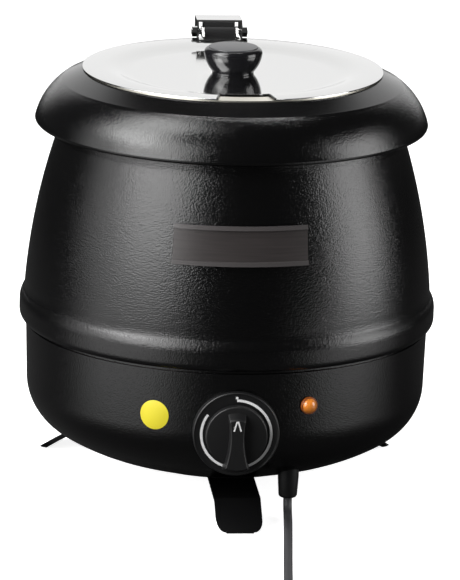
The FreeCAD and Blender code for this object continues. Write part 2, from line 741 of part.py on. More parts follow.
for side, lift in (("right", "dim.cover_width / 2"), ("left", "-dim.cover_width / 2 - 4")):
    nut = piece(f"hinge_nut_{side}")
    nut_corners = []
    for corner in range(6):
        nut_corners.append(
            (f"dim.pin_reach + 4.6 * cos({60 * corner})", f"dim.pin_level + 4.6 * sin({60 * corner})")
        )
    pad(nut, f"nut_{side}", outline(nut, f"nut_outline_{side}", "YZ_Plane", nut_corners, lift), "4")
    nut_bore = round_outline(nut, f"nut_bore_{side}", "YZ_Plane", PIN_RING)
    pocket(nut, f"nut_bore_cut_{side}", nut_bore, "dim.cover_width + 20").SideType = "Symmetric"
    place(nut, turn="dim.lid_turn")

# Leaf of the hinge: a plate on the lid with an ear on each side of the block, round the pin.
LID_UNDER = "dim.lid_level - dim.thin_sheet"
hinge_leaf = piece("hinge_leaf")
EAR_IN = "(dim.block_width / 2 + 0.5)"
EAR_OUT = f"({EAR_IN} + 2)"
leaf_outline = outline(
    hinge_leaf,
    "leaf_outline",
    "XY_Plane",
    box_corners(f"-{EAR_OUT}", "dim.panel_radius + 0.5", EAR_OUT, "dim.lid_radius - 5"),
    "dim.lid_level",
)
pad(hinge_leaf, "leaf", leaf_outline, "dim.cover_sheet")
for side, lift in (("right", EAR_IN), ("left", f"-{EAR_OUT}")):
    ear_outline = outline(
        hinge_leaf,
        f"ear_outline_{side}",
        "YZ_Plane",
        [
            ("dim.panel_radius + 0.5", "dim.lid_level"),
            ("dim.pin_reach - dim.eye_radius * sin(32)", "dim.lid_level"),
            ("dim.pin_reach + dim.eye_radius", "dim.pin_level", "dim.eye_radius", "left"),
            (
                "dim.pin_reach - dim.eye_radius * sin(30)",
                "dim.pin_level + dim.eye_radius * cos(30)",
                "dim.eye_radius",
                "left",
            ),
            ("dim.lid_radius - 5", "dim.lid_level + dim.cover_sheet"),
            ("dim.panel_radius + 0.5", "dim.lid_level + dim.cover_sheet"),
        ],
        lift,
    )
    pad(hinge_leaf, f"ear_{side}", ear_outline, "2")
EYE_BORE = [("dim.pin_reach", "dim.pin_level", "dim.pin_radius + dim.running_gap")]
eye_bore = round_outline(hinge_leaf, "eye_bore", "YZ_Plane", EYE_BORE)
pocket(hinge_leaf, "eye_bore_cut", eye_bore, "dim.cover_width + 10").SideType = "Symmetric"
place(hinge_leaf, turn="dim.lid_turn")

# Pressed lid: a flat rim, a sunk middle and the ladle notch in the front of the rim.
PANEL_TOP = "dim.lid_level - dim.panel_depth"
lid = piece("lid")
revolve(
    lid,
    "pressing",
    [
        ("0", f"{PANEL_TOP} - dim.thin_sheet"),
        ("dim.panel_radius - 2", f"{PANEL_TOP} - dim.thin_sheet"),
        ("dim.panel_radius + 0.4", LID_UNDER),
        ("dim.lid_radius", LID_UNDER),
        ("dim.lid_radius", "dim.lid_level"),
        ("dim.panel_radius", "dim.lid_level"),
        ("dim.panel_radius - 2.4", PANEL_TOP),
        ("0", PANEL_TOP),
    ],
)
NOTCH_SIDE = "dim.notch_inner / 2"
notch_outline = outline(
    lid,
    "notch_outline",
    "XY_Plane",
    [
        ("-dim.notch_outer / 2 - 1", "-dim.lid_radius - 4"),
        ("dim.notch_outer / 2 + 1", "-dim.lid_radius - 4"),
        (f"{NOTCH_SIDE} + 0.8", "-dim.notch_reach - 5"),
        (f"{NOTCH_SIDE} - 5", "-dim.notch_reach", "6", "left"),
        (f"-{NOTCH_SIDE} + 5", "-dim.notch_reach"),
        (f"-{NOTCH_SIDE} - 0.8", "-dim.notch_reach - 5", "6", "left"),
    ],
)
pocket(lid, "notch", notch_outline, "dim.lid_level + 10", reverse=True)
lid_hole = disc_outline(lid, "lid_hole", "XY_Plane", "2.5")
pocket(lid, "lid_hole_cut", lid_hole, "dim.lid_level + 10", reverse=True)
place(lid, turn="dim.lid_turn")

lid_knob = piece("lid_knob")
HEAD_TOP = f"{PANEL_TOP} + dim.knob_height"
revolve(
    lid_knob,
    "knob_turning",
    [
        ("2.5", PANEL_TOP),
        ("dim.knob_neck + 0.8", PANEL_TOP),
        ("dim.knob_neck + 0.8", f"{PANEL_TOP} + 1.4"),
        ("dim.knob_radius", f"{PANEL_TOP} + dim.knob_height * 0.72", "26", "left"),
        ("dim.knob_radius - 2.6", f"{HEAD_TOP} - 1", "4.8", "left"),
        ("dim.knob_radius - 3.6", f"{HEAD_TOP} - 0.8"),
        ("dim.knob_radius - 3.6", f"{HEAD_TOP} - 1.8"),
        ("0", f"{HEAD_TOP} - 1.8"),
        ("0", f"{PANEL_TOP} + dim.knob_height * 0.6"),
        ("2.5", f"{PANEL_TOP} + dim.knob_height * 0.6"),
    ],
)
place(lid_knob, turn="dim.lid_turn")

knob_cap = piece("knob_cap")
revolve(
    knob_cap,
    "cap_disc",
    [
        ("0", f"{HEAD_TOP} - 1.8"),
        ("dim.knob_radius - 3.6", f"{HEAD_TOP} - 1.8"),
        ("dim.knob_radius - 3.6", f"{HEAD_TOP} - 0.6"),
        ("dim.knob_radius - 4.2", HEAD_TOP),
        ("0", HEAD_TOP),
    ],
)
place(knob_cap, turn="dim.lid_turn")

knob_screw = piece("knob_screw")
SCREW_FACE = f"{PANEL_TOP} - dim.thin_sheet"
revolve(
    knob_screw,
    "knob_screw_turning",
    [
        ("0", f"{SCREW_FACE} - 2.6"),
        ("3.4", f"{SCREW_FACE} - 2.6"),
        ("4.8", f"{SCREW_FACE} - 1.2", "2", "left"),
        ("4.8", SCREW_FACE),
        ("2.5", SCREW_FACE),
        ("2.5", f"{PANEL_TOP} + dim.knob_height * 0.6 - 0.5"),
        ("0", f"{PANEL_TOP} + dim.knob_height * 0.6 - 0.5"),
    ],
)
place(knob_screw, turn="dim.lid_turn")


# A round tube along straight runs whose corners are rounded as far as the runs allow.
def rounded_wire(points, label):
    edges = []
    radii = []
    last = points[0]
    for before, corner, after in zip(points, points[1:], points[2:]):
        to_before = (before - corner).normalize()
        to_after = (after - corner).normalize()
        turn = math.pi - to_before.getAngle(to_after)
        shorter = min((before - corner).Length, (after - corner).Length)
        cut = 0.45 * shorter
        radius = cut / math.tan(turn / 2)
        first, second = corner + to_before * cut, corner + to_after * cut
        inward = (to_before + to_after).normalize()
        middle = corner + inward * (math.hypot(cut, radius) - radius)
        edges.append(Part.LineSegment(last, first).toShape())
        edges.append(Part.Arc(first, middle, second).toShape())
        radii.append(round(radius, 1))
        last = second
    edges.append(Part.LineSegment(last, points[-1]).toShape())
    print(label, "radii", radii)
    return Part.Wire(edges)


def tube(label, wire, radius):
    start = wire.Edges[0]
    heading = start.tangentAt(start.FirstParameter)
    ring = Part.Wire(Part.makeCircle(radius, start.valueAt(start.FirstParameter), heading))
    solid = wire.makePipeShell([ring], True, False)
    item = doc.addObject("Part::Feature", label)
    item.Label = label
    item.Shape = solid
    item.Placement = Placement()
    pieces.append(item)
    expected = math.pi * radius**2 * wire.Length
    print(label, "length", round(wire.Length, 1), "volume against section", round(solid.Volume / expected, 4))
    return item


# Sensor bulb against the tank, and the capillary tube that leads from it to the thermostat.
sensor_bulb = piece("sensor_bulb")
BULB_TURN = "40"
revolve(
    sensor_bulb,
    "bulb",
    [
        ("0", "dim.tank_bottom + 20"),
        ("2", "dim.tank_bottom + 20"),
        ("4", "dim.tank_bottom + 23", "3", "left"),
        ("4", "dim.tank_bottom + 90"),
        ("0", "dim.tank_bottom + 94", "4", "left"),
    ],
)
BULB_REACH = "(dim.tank_radius + 4)"
place(sensor_bulb, f"{BULB_REACH} * sin({BULB_TURN})", f"-{BULB_REACH} * cos({BULB_TURN})")
bulb_end = Vector(
    size(f"{BULB_REACH} * sin({BULB_TURN})"),
    size(f"-{BULB_REACH} * cos({BULB_TURN})"),
    size("dim.tank_bottom + 20"),
)
case_side = Vector(19, size("-dim.dial_face + 31"), size("dim.dial_level - 8"))
capillary_route = [
    bulb_end,
    bulb_end + Vector(0, 0, -12),
    case_side + Vector(22, 6, -1),
    case_side + Vector(10, 0, 0),
    case_side,
]
tube("capillary", rounded_wire(capillary_route, "capillary"), 1)

terminal_block = piece("terminal_block")
terminal_outline = outline(
    terminal_block,
    "terminal_outline",
    "XY_Plane",
    box_corners("24", "-14", "42", "32"),
    "dim.bowl_bottom",
)
pad(terminal_block, "terminal_case", terminal_outline, "16")
terminal_ways = []
for way in range(3):
    terminal_ways.append(("33", f"{-4 + 13 * way}", "3"))
WELLS_TOP = "dim.bowl_bottom + 16"
terminal_wells = round_outline(terminal_block, "terminal_wells", "XY_Plane", terminal_ways, WELLS_TOP)
pocket(terminal_block, "terminal_well_cut", terminal_wells, "9")

# Cord gland: a tapered sleeve through the underside that guides the cord down.
cord_gland = piece("cord_gland")
revolve(
    cord_gland,
    "sleeve",
    [
        ("0", "dim.gland_end"),
        ("dim.gland_radius - 2.6", "dim.gland_end"),
        ("dim.gland_radius - 0.9", "dim.gland_end + 2", "2.2", "left"),
        ("dim.gland_radius", "dim.bowl_bottom + 12"),
        ("dim.gland_radius", "dim.bowl_bottom + 28"),
        ("0", "dim.bowl_bottom + 28"),
    ],
)
place(cord_gland, "dim.gland_x", "dim.gland_y")

# Mains cord: down from the gland, round to the floor and forward to the put-away coil.
cord_radius = size("dim.cord_radius")
gland_x, gland_y = size("dim.gland_x"), size("dim.gland_y")
tie_strap = size("dim.tie_strap")
coil_y = size("dim.coil_y")
coil_level = tie_strap + cord_radius
coil_side = size("dim.coil_side")
tube_ends = 2 * cord_radius
cord_route = [
    Vector(gland_x, gland_y, size("dim.gland_end")),
    Vector(gland_x, gland_y, 11),
    Vector(gland_x, gland_y - 7.5, cord_radius),
    Vector(gland_x - 0.9, gland_y - 25, cord_radius),
    Vector(gland_x - 3.2, gland_y - 59, cord_radius),
    Vector(gland_x - 7.1, gland_y - 116, cord_radius),
    Vector(gland_x - 10.9, gland_y - 174, cord_radius),
    Vector(coil_side, coil_y + 40, coil_level),
    Vector(coil_side, coil_y + tube_ends, coil_level),
]
tube("power_cord", rounded_wire(cord_route, "power_cord"), cord_radius)

# The coil winds in on the lower layer, climbs in half a turn and winds out on the upper layer.
coil_radius, coil_pitch = size("dim.coil_radius"), size("dim.coil_pitch")
coil_layer = size("dim.coil_layer")
COIL_IN, COIL_OUT = 2.5, 2.25
coil_inner = coil_radius - COIL_IN * coil_pitch
coil_middle = Vector(coil_side - coil_radius, coil_y, coil_level)


def coil_point(turns):
    angle = -2 * math.pi * turns
    if turns <= COIL_IN:
        reach, lift = coil_radius - coil_pitch * turns, 0
    elif turns <= COIL_IN + 0.5:
        reach, lift = coil_inner, coil_layer * (turns - COIL_IN) * 2
    else:
        reach, lift = coil_inner + coil_pitch * (turns - COIL_IN - 0.5), coil_layer
    return coil_middle + Vector(reach * math.cos(angle), reach * math.sin(angle), lift)


def coil_heading(turns):
    angle = -2 * math.pi * turns
    return Vector(math.sin(angle), -math.cos(angle), 0)


def arc_from(start, heading, stop):
    chord = stop - start
    sideways = chord - heading * chord.dot(heading)
    half = heading.getAngle(chord) / 2
    bulge = (heading * chord.Length - chord * math.cos(2 * half)).normalize()
    middle = (start + stop) * 0.5 + bulge * (chord.Length / 2 * math.tan(half))
    return Part.Arc(start, middle, stop).toShape() if sideways.Length > 1e-6 else None


def biarc(start, first_heading, stop, last_heading):
    gap = stop - start
    both = first_heading + last_heading
    inner = 2 * (1 - first_heading.dot(last_heading))
    along = gap.dot(both)
    if inner < 1e-9:
        reach = gap.dot(gap) / (4 * gap.dot(last_heading))
    else:
        reach = (-along + math.sqrt(along**2 + inner * gap.dot(gap))) / inner
    meeting = (start + stop + (first_heading - last_heading) * reach) * 0.5
    second_heading = (meeting - start).normalize()
    second_heading = second_heading * (2 * second_heading.dot(first_heading)) - first_heading
    return [arc_from(start, first_heading, meeting), arc_from(meeting, second_heading, stop)]


coil_edges = [Part.LineSegment(coil_point(0) - coil_heading(0) * tube_ends, coil_point(0)).toShape()]
coil_steps = [index / 4 for index in range(round(4 * COIL_IN) + 1)]
coil_steps += [COIL_IN + 0.5 + index / 4 for index in range(round(4 * COIL_OUT) + 1)]
for first, second in zip(coil_steps, coil_steps[1:]):
    coil_edges += biarc(coil_point(first), coil_heading(first), coil_point(second), coil_heading(second))
coil_end = coil_point(coil_steps[-1])
coil_way = coil_heading(coil_steps[-1])
plug_start = coil_end + coil_way * size("dim.coil_tail")
coil_edges.append(Part.LineSegment(coil_end, plug_start).toShape())
coil_wire = Part.Wire(coil_edges)
tube("cord_coil", coil_wire, cord_radius)

coil_samples = coil_wire.discretize(Distance=3)
least_gap = min(
    (one - other).Length
    for index, one in enumerate(coil_samples)
    for other in coil_samples[index + 12:]
)
print("cord_coil least gap to itself", round(least_gap - 2 * cord_radius, 2))

# Strap round the coil.
coil_tie = piece("coil_tie")
TIE_IN = "(dim.coil_radius - 2.5 * dim.coil_pitch - dim.cord_radius - 0.4)"
TIE_OUT = "(dim.coil_radius + dim.cord_radius)"
TIE_TOP = "(2 * dim.cord_radius + dim.coil_layer + 0.3)"
tie_outline = outline(
    coil_tie,
    "tie_outline",
    "XZ_Plane",
    box_corners(
        f"-{TIE_OUT} - dim.tie_strap",
        "-dim.tie_strap",
        f"-{TIE_IN} + dim.tie_strap",
        f"{TIE_TOP} + dim.tie_strap",
    ),
)
pad(coil_tie, "tie", tie_outline, "9", symmetric=True)
tie_inside = outline(
    coil_tie,
    "tie_inside",
    "XZ_Plane",
    box_corners(f"-{TIE_OUT}", "0", f"-{TIE_IN}", TIE_TOP),
)
pocket(coil_tie, "tie_inside_cut", tie_inside, "30").SideType = "Symmetric"
place(coil_tie, "dim.coil_side - dim.coil_radius", "dim.coil_y", "dim.tie_strap")

# Mains plug beside the coil: a strain relief, a moulded body and two round pins.
PLUG_X = "dim.coil_side - dim.coil_radius - dim.coil_tail"
PLUG_Y = "dim.coil_y - dim.coil_radius + 0.25 * dim.coil_pitch"
PLUG_Z = "dim.tie_strap + dim.cord_radius + dim.coil_layer"
toward_plug = Rotation(Vector(0, 1, 0), -90)


def lay_plug(item):
    item.setExpression("Placement.Base.x", PLUG_X)
    item.setExpression("Placement.Base.y", PLUG_Y)
    item.setExpression("Placement.Base.z", PLUG_Z)
    item.Placement.Rotation = toward_plug


plug_relief = piece("plug_relief")
revolve(
    plug_relief,
    "relief",
    [("0", "0"), ("dim.cord_radius + 1", "0"), ("dim.cord_radius + 3.6", "26"), ("0", "26")],
)
lay_plug(plug_relief)

plug_body = piece("plug_body")
plug_outline = outline(
    plug_body,
    "plug_outline",
    "XY_Plane",
    box_corners(f"-({PLUG_Z})", "-17", PLUG_Z, "17"),
    "26",
)
plug_block = pad(plug_body, "plug_block", plug_outline, "38")


def plug_edges(edge):
    return edge.BoundBox.ZLength > 30


soften(plug_body, "plug_rounding", plug_block, 7, plug_edges)
lay_plug(plug_body)

for side, offset in (("one", "-9.5"), ("two", "9.5")):
    plug_pin = piece(f"plug_pin_{side}")
    pin_ring = round_outline(plug_pin, f"plug_pin_ring_{side}", "XY_Plane", [("0", offset, "2.4")], "64")
    pad(plug_pin, f"plug_pin_bar_{side}", pin_ring, "19")
    lay_plug(plug_pin)

doc.recompute()
for item in doc.Objects:
    if "Invalid" in item.State or "Error" in item.State:
        raise RuntimeError(f"{item.Label} failed: {item.State}")
for item in pieces:
    if item.Shape.isNull() or not item.Shape.isValid():
        raise RuntimeError(f"{item.Label} has no valid shape")

os.makedirs("parts", exist_ok=True)
for item in pieces:
    item.Shape.exportStep(f"parts/{item.Label}.step")
print(len(pieces), "pieces written")
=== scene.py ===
import math
import bpy
from mathutils import Matrix, Vector


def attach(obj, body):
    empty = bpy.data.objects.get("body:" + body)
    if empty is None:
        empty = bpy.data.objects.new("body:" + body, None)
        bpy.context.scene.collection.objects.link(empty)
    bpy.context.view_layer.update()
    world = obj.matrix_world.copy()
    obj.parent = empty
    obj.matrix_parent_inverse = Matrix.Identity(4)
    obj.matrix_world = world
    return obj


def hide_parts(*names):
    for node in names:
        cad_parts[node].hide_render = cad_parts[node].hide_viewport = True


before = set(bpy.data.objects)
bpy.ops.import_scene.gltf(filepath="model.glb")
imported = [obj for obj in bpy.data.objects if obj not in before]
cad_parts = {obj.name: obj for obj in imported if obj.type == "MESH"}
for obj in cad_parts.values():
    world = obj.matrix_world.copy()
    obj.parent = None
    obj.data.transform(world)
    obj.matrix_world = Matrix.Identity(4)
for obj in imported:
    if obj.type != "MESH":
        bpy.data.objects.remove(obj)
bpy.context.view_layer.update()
mm = 0.001

# The dial faces the front; the camera stands a little to its left and above.
cameraSettings = {
    "turn": -3.47,
    "lens": 334.5,
    "sensor": 36,
    "farClip": 50,
    "place": (0, -3.3859, 1.0563),
    "aim": (0.0024, 0, 0.1563),
    "roll": 1.53,
}
viewTurn = Matrix.Rotation(math.radians(cameraSettings["turn"]), 4, "Z")


def addObject(name, data):
    added = bpy.data.objects.new(name, data)
    bpy.context.scene.collection.objects.link(added)
    return added


def aimedFrom(place, aim):
    return Matrix.Translation(place) @ (aim - place).to_track_quat("-Z", "Y").to_matrix().to_4x4()


def makeCamera(settings):
    data = bpy.data.cameras.new("camera")
    data.lens = settings["lens"]
    data.sensor_fit = "HORIZONTAL"
    data.sensor_width = settings["sensor"]
    data.clip_end = settings["farClip"]
    camera = addObject("camera", data)
    place = viewTurn @ Vector(settings["place"])
    aim = viewTurn @ Vector(settings["aim"])
    roll = Matrix.Rotation(math.radians(settings["roll"]), 4, "Z")
    camera.matrix_world = aimedFrom(place, aim) @ roll
    bpy.context.scene.camera = camera


makeCamera(cameraSettings)
print("camera placed")


# A value in a shader: arithmetic on it makes the matching node.
class Value:
    def __init__(self, tree, socket):
        self.tree = tree
        self.socket = socket

    def math(self, operation, other=0.0, clamp=False):
        return shaderNode(self.tree, "ShaderNodeMath", [self, other], operation=operation, use_clamp=clamp)

    def clamped(self):
        return self.math("MULTIPLY", 1.0, True)

    def __add__(self, other):
        return self.math("ADD", other)

    def __mul__(self, other):
        return self.math("MULTIPLY", other)

    def __sub__(self, other):
        return self.math("SUBTRACT", other)

    def __rsub__(self, other):
        return shaderNode(self.tree, "ShaderNodeMath", [other, self], operation="SUBTRACT")

    __radd__ = __add__
    __rmul__ = __mul__


# Any other node, with its inputs by position or name and its settings by keyword.
def shaderNode(tree, kind, inputs=(), output=0, **settings):
    node = tree.nodes.new(kind)
    for name, setting in settings.items():
        setattr(node, name, setting)
    pairs = inputs.items() if isinstance(inputs, dict) else enumerate(inputs)
    for key, given in pairs:
        if isinstance(given, Value):
            tree.links.new(given.socket, node.inputs[key])
        else:
            node.inputs[key].default_value = given
    return Value(tree, node.outputs[output])


# What the grained coats share: fine noise with broader waves in it.
grainSettings = {
    "detail": 1.5,
    "roughness": 0.45,
    "broadScale": 0.45,
    "broadShare": 0.35,
    "fade": 400,  # how fast the grain ends below its upper level, per metre
}


def addGrain(tree, shader, settings):
    grain = settings["grain"]
    place = shaderNode(tree, "ShaderNodeTexCoord", output="Object")
    fine = shaderNode(tree, "ShaderNodeTexNoise", {
        "Vector": place,
        "Scale": grain["scale"],
        "Detail": grainSettings["detail"],
        "Roughness": grainSettings["roughness"],
    })
    broadScale = grain["scale"] * grainSettings["broadScale"]
    broad = shaderNode(tree, "ShaderNodeTexNoise", {"Vector": place, "Scale": broadScale})
    height = fine + broad * grainSettings["broadShare"]
    if "below" in grain:
        level = shaderNode(tree, "ShaderNodeSeparateXYZ", {"Vector": place}, output="Z")
        height = height * ((grain["below"] - level) * grainSettings["fade"]).clamped()
    bump = shaderNode(tree, "ShaderNodeBump", {
        "Strength": grain["strength"],
        "Distance": grain["depth"],
        "Height": height,
    })
    tree.links.new(bump.socket, shader.inputs["Normal"])
    rough = fine * grain["spread"] + (settings["roughness"] - 0.5 * grain["spread"])
    tree.links.new(rough.socket, shader.inputs["Roughness"])


# Long streaks of a second colour, as in extruded plastic.
def addStreak(tree, shader, settings):
    streak = settings["streak"]
    place = shaderNode(tree, "ShaderNodeTexCoord", output="Object")
    stretched = shaderNode(tree, "ShaderNodeMapping", {"Vector": place, "Scale": streak["stretch"]})
    lines = shaderNode(tree, "ShaderNodeTexNoise", {
        "Vector": stretched,
        "Scale": streak["scale"],
        "Detail": streak["detail"],
    })
    # sockets of a colour mix: 0 the factor, 6 and 7 the colours, 2 the result
    blend = shaderNode(
        tree,
        "ShaderNodeMix",
        {0: lines.clamped(), 6: (*settings["colour"], 1), 7: (*streak["colour"], 1)},
        output=2,
        data_type="RGBA",
    )
    tree.links.new(blend.socket, shader.inputs["Base Color"])


def newMaterial(name, settings):
    material = bpy.data.materials.new(name)
    material.use_nodes = True
    tree = material.node_tree
    shader = tree.nodes["Principled BSDF"]
    sockets = {
        "Base Color": (*settings["colour"], 1),
        "Roughness": settings["roughness"],
        "Metallic": settings.get("metallic", 0),
        "Coat Weight": settings.get("coat", 0),
        "Coat Roughness": 0.1,
        "Specular IOR Level": settings.get("specular", 0.5),
    }
    for socket, setting in sockets.items():
        shader.inputs[socket].default_value = setting
    if "grain" in settings:
        addGrain(tree, shader, settings)
    if "streak" in settings:
        addStreak(tree, shader, settings)
    return material


finishes = {
    "blackCoat": {
        "colour": (0.0012, 0.0012, 0.0013),
        "roughness": 0.19,
        "grain": {"scale": 850, "strength": 0.5, "depth": 0.0006, "spread": 0.1},
    },
    "collarCoat": {
        "colour": (0.0012, 0.0012, 0.0013),
        "roughness": 0.17,
        "grain": {"scale": 850, "strength": 0.42, "depth": 0.0006, "spread": 0.1, "below": 0.332},
    },
    "mirrorSteel": {"colour": (0.75, 0.75, 0.745), "roughness": 0.09, "metallic": 1},
    "dullSteel": {"colour": (0.6, 0.59, 0.56), "roughness": 0.3, "metallic": 1},
    "potSteel": {"colour": (0.82, 0.79, 0.7), "roughness": 0.35, "metallic": 1},
    # dark steel of the notch hem: painted shade standing in for the shadow of the rolled edge
    "hemPaintedShadeSteel": {"colour": (0.1, 0.1, 0.1), "roughness": 0.2, "metallic": 1},
    "glossBlack": {"colour": (0.006, 0.006, 0.007), "roughness": 0.16},
    "mattBlack": {"colour": (0.003, 0.003, 0.0033), "roughness": 0.46},
    "footBlack": {"colour": (0.0015, 0.0015, 0.0017), "roughness": 0.5, "specular": 0.15},
    "capGrey": {"colour": (0.05, 0.05, 0.053), "roughness": 0.35},
    "smoked": {
        "colour": (0.016, 0.014, 0.014),
        "roughness": 0.34,
        "streak": {"stretch": (6, 6, 160), "scale": 4.0, "detail": 3.0, "colour": (0.05, 0.043, 0.042)},
    },
    "smokedLip": {"colour": (0.06, 0.055, 0.055), "roughness": 0.34},
    "amber": {"colour": (0.8, 0.25, 0.03), "roughness": 0.15, "coat": 0.6},
    "amberRim": {"colour": (0.3, 0.08, 0.015), "roughness": 0.2, "coat": 0.4},
    "cordGrey": {"colour": (0.045, 0.045, 0.048), "roughness": 0.5},
    "rubber": {"colour": (0.012, 0.012, 0.012), "roughness": 0.7},
    "whitePrint": {"colour": (0.78, 0.78, 0.78), "roughness": 0.5},
    "yellowSticker": {"colour": (0.7, 0.6, 0.03), "roughness": 0.4},
}
materials = {name: newMaterial(name, settings) for name, settings in finishes.items()}
print("materials made")


def pick(piece):
    bpy.ops.object.select_all(action="DESELECT")
    piece.select_set(True)
    bpy.context.view_layer.objects.active = piece


def editAll():
    bpy.ops.object.mode_set(mode="EDIT")
    bpy.ops.mesh.select_all(action="SELECT")


def endEdit():
    bpy.ops.object.mode_set(mode="OBJECT")


def smoothTo(angle):
    bpy.ops.object.shade_smooth_by_angle(angle=math.radians(angle))


# Eases from 0 to 1 with level ends.
def ease(share):
    return 3 * share**2 - 2 * share**3


# How finely arcs are drawn, the length in mm.
arcSteps = {"fewest": 6, "most": 48, "length": 1.5}


# Outline corners in mm: (r, z) after a straight edge, (r, z, radius, side) after an arc.
def outlinePoints(corners, closed=True):
    points = []
    for index, corner in enumerate(corners):
        stop = Vector(corner[:2])
        if len(corner) == 2 or (index == 0 and not closed):
            points.append(stop)
            continue
        start = Vector(corners[index - 1][:2])
        chord = stop - start
        radius = max(corner[2], chord.length / 2)
        side = 1 if corner[3] == "left" else -1
        across = Vector((-chord.y, chord.x)).normalized() * side
        centre = (start + stop) / 2 + across * math.sqrt(radius**2 - chord.length**2 / 4)
        first = math.atan2(start.y - centre.y, start.x - centre.x)
        turn = 2 * math.asin(chord.length / 2 / radius) * side
        count = round(abs(turn) * radius / arcSteps["length"])
        count = max(arcSteps["fewest"], min(arcSteps["most"], count))
        for step in range(1, count + 1):
            angle = first + turn * step / count
            points.append(centre + Vector((math.cos(angle), math.sin(angle))) * radius)
    return points


def meshPiece(name, vertices, edges=(), faces=()):
    mesh = bpy.data.meshes.new(name)
    mesh.from_pydata([Vector(v) * mm for v in vertices], edges, faces)
    piece = addObject(name, mesh)
    pick(piece)
    return piece


def finishMesh(piece, smoothing):
    pick(piece)
    editAll()
    bpy.ops.mesh.remove_doubles(threshold=0.01 * mm)
    bpy.ops.mesh.normals_make_consistent(inside=False)
    endEdit()
    smoothTo(smoothing)


def applyTurn(piece, matrix):
    pick(piece)
    piece.matrix_world = matrix
    bpy.ops.object.transform_apply(location=True, rotation=True, scale=True)


def spinMesh(steps, sweep):
    editAll()
    bpy.ops.mesh.spin(steps=steps, angle=math.radians(sweep), center=(0, 0, 0), axis=(0, 0, 1))
    endEdit()


# Spins an outline about the upright axis, as a metal spinner or a lathe makes the piece.
def spinPiece(name, settings):
    closed = settings.get("closed", True)
    points = outlinePoints(settings["outline"], closed)
    edges = [(i, i + 1) for i in range(len(points) - 1)]
    if closed:
        edges.append((len(points) - 1, 0))
    piece = meshPiece(name, [(p.x, 0, p.y) for p in points], edges)
    spinMesh(settings["steps"], settings.get("sweep", 360))
    finishMesh(piece, settings.get("smoothing", 35))
    return piece


# Angles in degrees, for raised pieces without and with rounded edges.
raiseSettings = {"smoothing": 30, "roundFrom": 40, "roundSegments": 3, "roundSmoothing": 35}


# Pulls a flat outline up to a height, with a scale for the far end, and rounds its edges.
def raisePiece(name, points, height, farScale=1.0, rounding=0.0):
    vertices = [(p[0], p[1], 0) for p in points]
    piece = meshPiece(name, vertices, faces=[tuple(range(len(vertices)))])
    editAll()
    bpy.ops.mesh.extrude_region_move(TRANSFORM_OT_translate={"value": (0, 0, height * mm)})
    bpy.ops.transform.resize(value=(farScale, farScale, 1))
    endEdit()
    finishMesh(piece, raiseSettings["smoothing"])
    if rounding:
        soften = piece.modifiers.new("soften", "BEVEL")
        soften.width = rounding * mm
        soften.segments = raiseSettings["roundSegments"]
        soften.angle_limit = math.radians(raiseSettings["roundFrom"])
        bpy.ops.object.modifier_apply(modifier=soften.name)
        smoothTo(raiseSettings["roundSmoothing"])
    return piece


def surface(piece, material):
    piece.data.materials.clear()
    piece.data.materials.append(materials[material])


def settle(piece, body, material, nodes=()):
    surface(piece, material)
    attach(piece, body)
    if nodes:
        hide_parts(*nodes)


def joinPieces(*pieces):
    pick(pieces[0])
    for piece in pieces:
        piece.select_set(True)
    bpy.ops.object.join()
    return pieces[0]


def cutWith(piece, cutter):
    bpy.context.view_layer.objects.active = piece
    cut = piece.modifiers.new("cut", "BOOLEAN")
    cut.object = cutter
    cut.operation = "DIFFERENCE"
    cut.solver = "EXACT"
    bpy.ops.object.modifier_apply(modifier=cut.name)
    bpy.data.objects.remove(cutter)


# Stands a piece that was made round the upright axis on the front, turned round the kettle.
def frontPlace(settings):
    turn = Matrix.Rotation(math.radians(settings["turn"]), 4, "Z")
    place = Matrix.Translation((0, -settings["reach"] * mm, settings["level"] * mm))
    return turn @ place @ Matrix.Rotation(math.radians(90), 4, "X")


# Mains cord: the same route as the solid, then the turns of the put-away coil, in mm.
cordSettings = {
    "radius": 3.5,
    "gland": (45.8, -119.0, 17.4),
    "bendLevel": 11,
    "route": [(0, -7.5), (-0.9, -25), (-3.2, -59), (-7.1, -116), (-10.9, -174)],  # from the gland
    "coilSide": 32.6,
    "coilY": -384.0,
    "coilLevel": 4.3,
    "coilRadius": 51.0,
    "leadIn": (40, 12),
    "pitch": 9.6,
    "layer": 7.5,
    "turnsIn": 2.5,
    "turnsUp": 0.5,
    "turnsOut": 2.25,
    "perTurn": 24,
    "tail": (0, 12, 35.0),
}


def coilPoint(turns, s):
    inner = s["coilRadius"] - s["turnsIn"] * s["pitch"]
    upper = s["turnsIn"] + s["turnsUp"]
    if turns <= s["turnsIn"]:
        reach, lift = s["coilRadius"] - s["pitch"] * turns, 0
    elif turns <= upper:
        reach, lift = inner, s["layer"] * ease((turns - s["turnsIn"]) / s["turnsUp"])
    else:
        reach, lift = inner + s["pitch"] * (turns - upper), s["layer"]
    # the curve runs inside its points, so these stand a little further out
    reach = reach / (0.75 + 0.25 * math.cos(2 * math.pi / s["perTurn"]))
    angle = -2 * math.pi * turns
    middle = Vector((s["coilSide"] - s["coilRadius"], s["coilY"], s["coilLevel"]))
    return middle + Vector((reach * math.cos(angle), reach * math.sin(angle), lift))


